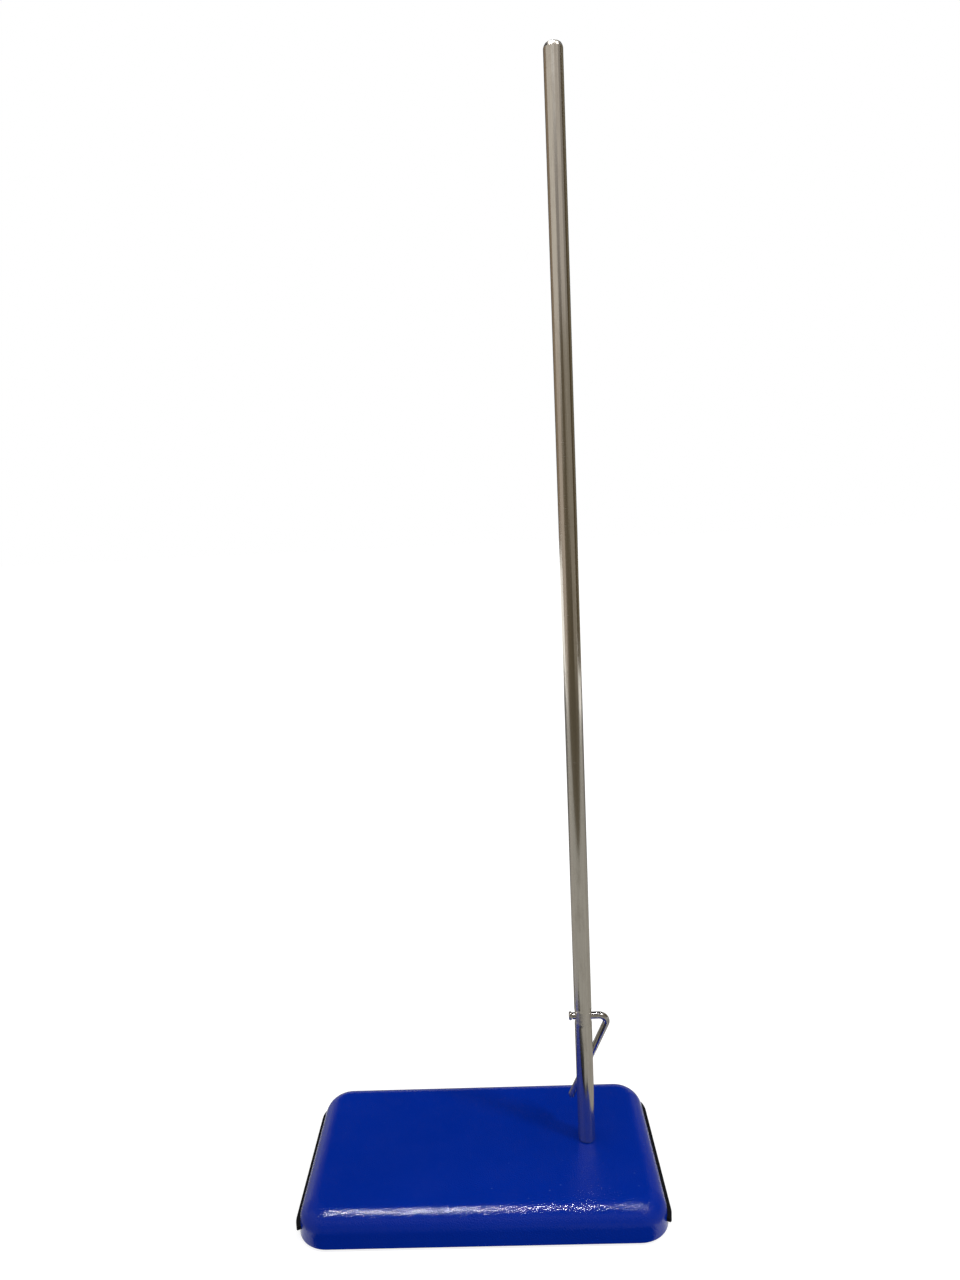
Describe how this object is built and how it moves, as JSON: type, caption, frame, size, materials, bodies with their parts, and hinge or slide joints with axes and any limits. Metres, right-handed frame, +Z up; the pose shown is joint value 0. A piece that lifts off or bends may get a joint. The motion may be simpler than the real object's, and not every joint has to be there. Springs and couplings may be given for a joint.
{
  "type": "laboratory retort stand",
  "caption": "Retort stand: a round plated rod screwed upright into a low pressed-steel base, with a captive bent-wire turning bar through the rod and rubber channels on the base's short sides.",
  "frame": {"origin": "on the table, under the middle of the base in plan", "axes": "+Z up along the rod, +X along the base's long side towards the end that carries the rod, +Y towards the base's back edge"},
  "size_m": [0.2082, 0.12, 0.62],
  "materials": {
    "base_paint": "stoved blue paint with a fine orange-peel gloss",
    "inner_steel": "painted over with the base",
    "strip_rubber": "matt black extruded rubber",
    "rod_plating": "bright nickel plating over drawn bar, handled and lightly scratched",
    "wire_plating": "bright nickel plating over bent wire"
  },
  "bodies": {
    "base": {"base_shell": "base_paint", "backing_plate": "inner_steel", "weld_nut": "inner_steel", "edge_strip_left": "strip_rubber", "edge_strip_right": "strip_rubber"},
    "rod": {"rod": "rod_plating"},
    "tommy_bar": {"tommy_bar": "wire_plating"}
  },
  "joints": [
    {"name": "rod_turn", "type": "hinge", "parent": "base", "child": "rod", "pos_m": [0.0625, 0, 0.02], "axis": [0, 0, 1], "range_deg": [0, 2592]},
    {"name": "tommy_bar_swing", "type": "hinge", "parent": "rod", "child": "tommy_bar", "pos_m": [0.0625, 0, 0.099], "axis": [1, 0, 0], "range_deg": [0, 156.5]}
  ]
}
